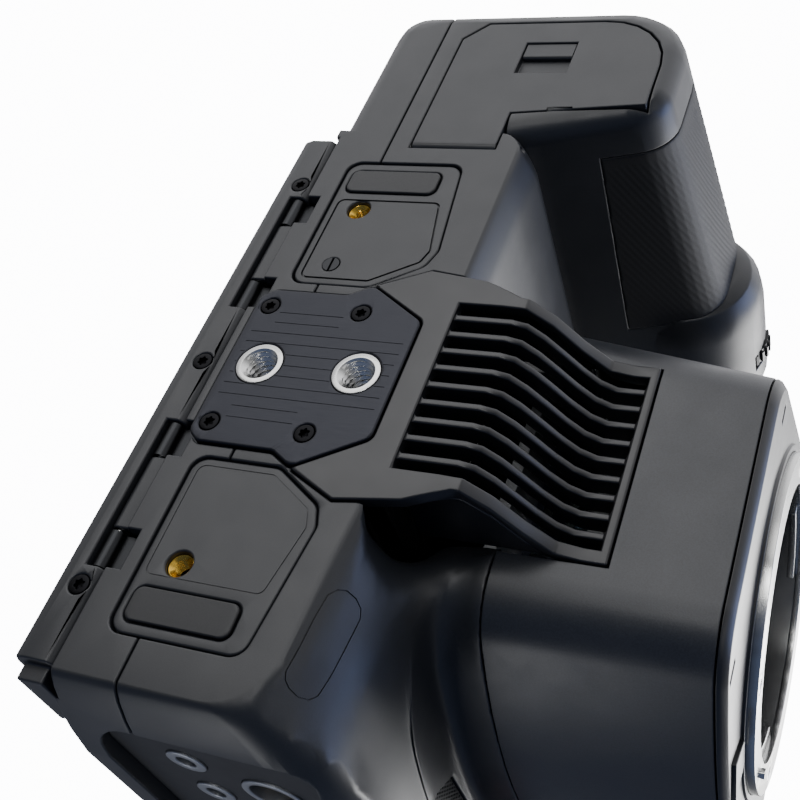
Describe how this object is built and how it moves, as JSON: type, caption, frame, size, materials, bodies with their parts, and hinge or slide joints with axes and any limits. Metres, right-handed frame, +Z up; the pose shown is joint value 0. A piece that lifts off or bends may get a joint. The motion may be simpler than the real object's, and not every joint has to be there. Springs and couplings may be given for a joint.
{
  "type": "digital cinema camera",
  "caption": "Compact digital cinema camera body with a side grip, raised lens housing, bottom air inlet, tripod base plate and a tilting rear screen.",
  "frame": {"origin": "centre of the front tripod thread at its mouth, on the lower face of the base plate", "axes": "+Z up, -Y out of the lens mount, +X to the port side, with the grip at -X"},
  "size_m": [0.178, 0.1109, 0.1109],
  "materials": {
    "casing_plastic": "fine satin texture",
    "rubber_black": "fine ribs",
    "base_metal": "dark, grooved",
    "bright_steel": "turned",
    "dark_steel": "satin",
    "black_screw": "blackened",
    "brass": "turned",
    "aluminium": "plain",
    "button_black": "satin",
    "button_red": "satin",
    "inner_plastic": "plain",
    "glass_dark": "clear",
    "glass_clear": "clear",
    "board_green": "plain",
    "sensor": "coated"
  },
  "bodies": {
    "camera": {"front_shell": "casing_plastic", "rear_shell": "casing_plastic", "top_cover": "casing_plastic", "grip_rubber": "rubber_black", "lens_housing": "casing_plastic", "front_plate": "casing_plastic", "bayonet_ring": "bright_steel", "ring_screws": "bright_steel", "contact_block": "inner_plastic", "throat_baffle": "inner_plastic", "sensor_plate": "aluminium", "image_sensor": "sensor", "sensor_glass": "glass_clear", "filter_rails": "bright_steel", "air_inlet": "inner_plastic", "heat_sink": "aluminium", "main_board": "board_green", "base_plate": "base_metal", "base_screws": "black_screw", "tripod_inserts": "bright_steel", "grip_side_cover": "casing_plastic", "port_side_cover": "casing_plastic", "foot_strips": "rubber_black", "captive_screw": "dark_steel", "brass_bushes": "brass", "door_pin": "bright_steel", "battery": "inner_plastic", "battery_terminal": "inner_plastic", "card_reader": "inner_plastic", "port_frame": "inner_plastic", "port_sockets": "aluminium", "top_insert": "bright_steel", "mic_mesh": "dark_steel"},
    "door": {"battery_door": "casing_plastic"},
    "latch": {"door_latch": "casing_plastic"},
    "card_flap": {"card_door": "casing_plastic"},
    "tilt_arm": {"tilt_plate": "dark_steel", "hinge_pins": "bright_steel"},
    "screen": {"screen_frame": "casing_plastic", "screen_glass": "glass_dark", "lcd_panel": "inner_plastic", "screen_screws": "black_screw"},
    "record": {"record_button": "button_red"},
    "stills": {"stills_button": "button_black"},
    "iso": {"iso_button": "button_black"},
    "shutter": {"shutter_button": "button_black"},
    "balance": {"balance_button": "button_black"},
    "front_record": {"front_record_button": "button_red"},
    "dial": {"dial_wheel": "button_black"},
    "switch": {"power_switch": "button_black"},
    "function_a": {"function_button_a": "button_black"},
    "function_b": {"function_button_b": "button_black"},
    "function_c": {"function_button_c": "button_black"},
    "menu": {"menu_button": "button_black"},
    "play": {"play_button": "button_black"},
    "release": {"release_button": "button_black"},
    "lock": {"lock_pin": "bright_steel"},
    "filter": {"filter_carrier": "aluminium", "filter_glass": "glass_clear"},
    "fan": {"fan_rotor": "inner_plastic"}
  },
  "joints": [
    {"name": "battery_door_hinge", "type": "hinge", "parent": "camera", "child": "door", "pos_m": [-0.0624, 0.002, 0.002], "axis": [0, -1, 0], "range_deg": [0, 95]},
    {"name": "battery_latch_slide", "type": "slide", "parent": "door", "child": "latch", "axis": [1, 0, 0], "range_m": [0, 0.005]},
    {"name": "card_door_hinge", "type": "hinge", "parent": "camera", "child": "card_flap", "pos_m": [-0.1072, 0.0189, 0.062], "axis": [0, 0, 1], "range_deg": [0, 90]},
    {"name": "screen_tilt", "type": "hinge", "parent": "camera", "child": "tilt_arm", "pos_m": [0, 0.0317, 0.003], "axis": [-1, 0, 0], "range_deg": [0, 40]},
    {"name": "screen_flip", "type": "hinge", "parent": "tilt_arm", "child": "screen", "pos_m": [0, 0.0336, 0.0856], "axis": [1, 0, 0], "range_deg": [0, 90]},
    {"name": "record_press", "type": "slide", "parent": "camera", "child": "record", "axis": [0, 0, -1], "range_m": [0, 0.001], "stiffness_N_per_m": 1500, "springref_m": -0.0005},
    {"name": "stills_press", "type": "slide", "parent": "camera", "child": "stills", "axis": [0, 0, -1], "range_m": [0, 0.001], "stiffness_N_per_m": 1500, "springref_m": -0.0005},
    {"name": "iso_press", "type": "slide", "parent": "camera", "child": "iso", "axis": [0, 0, -1], "range_m": [0, 0.001], "stiffness_N_per_m": 1500, "springref_m": -0.0005},
    {"name": "shutter_press", "type": "slide", "parent": "camera", "child": "shutter", "axis": [0, 0, -1], "range_m": [0, 0.001], "stiffness_N_per_m": 1500, "springref_m": -0.0005},
    {"name": "balance_press", "type": "slide", "parent": "camera", "child": "balance", "axis": [0, 0, -1], "range_m": [0, 0.001], "stiffness_N_per_m": 1500, "springref_m": -0.0005},
    {"name": "function_a_press", "type": "slide", "parent": "camera", "child": "function_a", "axis": [0, 0, -1], "range_m": [0, 0.001], "stiffness_N_per_m": 1500, "springref_m": -0.0005},
    {"name": "function_b_press", "type": "slide", "parent": "camera", "child": "function_b", "axis": [0, 0, -1], "range_m": [0, 0.001], "stiffness_N_per_m": 1500, "springref_m": -0.0005},
    {"name": "function_c_press", "type": "slide", "parent": "camera", "child": "function_c", "axis": [0, 0, -1], "range_m": [0, 0.001], "stiffness_N_per_m": 1500, "springref_m": -0.0005},
    {"name": "front_record_press", "type": "slide", "parent": "camera", "child": "front_record", "axis": [0, 1, 0], "range_m": [0, 0.001], "stiffness_N_per_m": 1500, "springref_m": -0.0005},
    {"name": "menu_press", "type": "slide", "parent": "camera", "child": "menu", "axis": [0, -1, 0], "range_m": [0, 0.001], "stiffness_N_per_m": 1500, "springref_m": -0.0005},
    {"name": "play_press", "type": "slide", "parent": "camera", "child": "play", "axis": [0, -1, 0], "range_m": [0, 0.001], "stiffness_N_per_m": 1500, "springref_m": -0.0005},
    {"name": "dial_spin", "type": "hinge", "parent": "camera", "child": "dial", "pos_m": [-0.087, -0.0472, 0.085], "axis": [0, 0, 1], "continuous": true},
    {"name": "power_switch_slide", "type": "slide", "parent": "camera", "child": "switch", "axis": [0, 1, 0], "range_m": [0, 0.004]},
    {"name": "release_press", "type": "slide", "parent": "camera", "child": "release", "axis": [0, 1, 0], "range_m": [0, 0.001], "stiffness_N_per_m": 1500, "springref_m": -0.0005},
    {"name": "lock_pin_slide", "type": "slide", "parent": "camera", "child": "lock", "axis": [0, 1, 0], "range_m": [0, 0.0018]},
    {"name": "filter_slide", "type": "slide", "parent": "camera", "child": "filter", "axis": [0, 0, -1], "range_m": [0, 0.026]},
    {"name": "fan_spin", "type": "hinge", "parent": "camera", "child": "fan", "pos_m": [0, -0.002, 0.015], "axis": [0, 0, 1], "continuous": true}
  ],
  "couplings": [
    {"joint": "lock_pin_slide", "follows": "release_press", "ratio": 1.8}
  ]
}
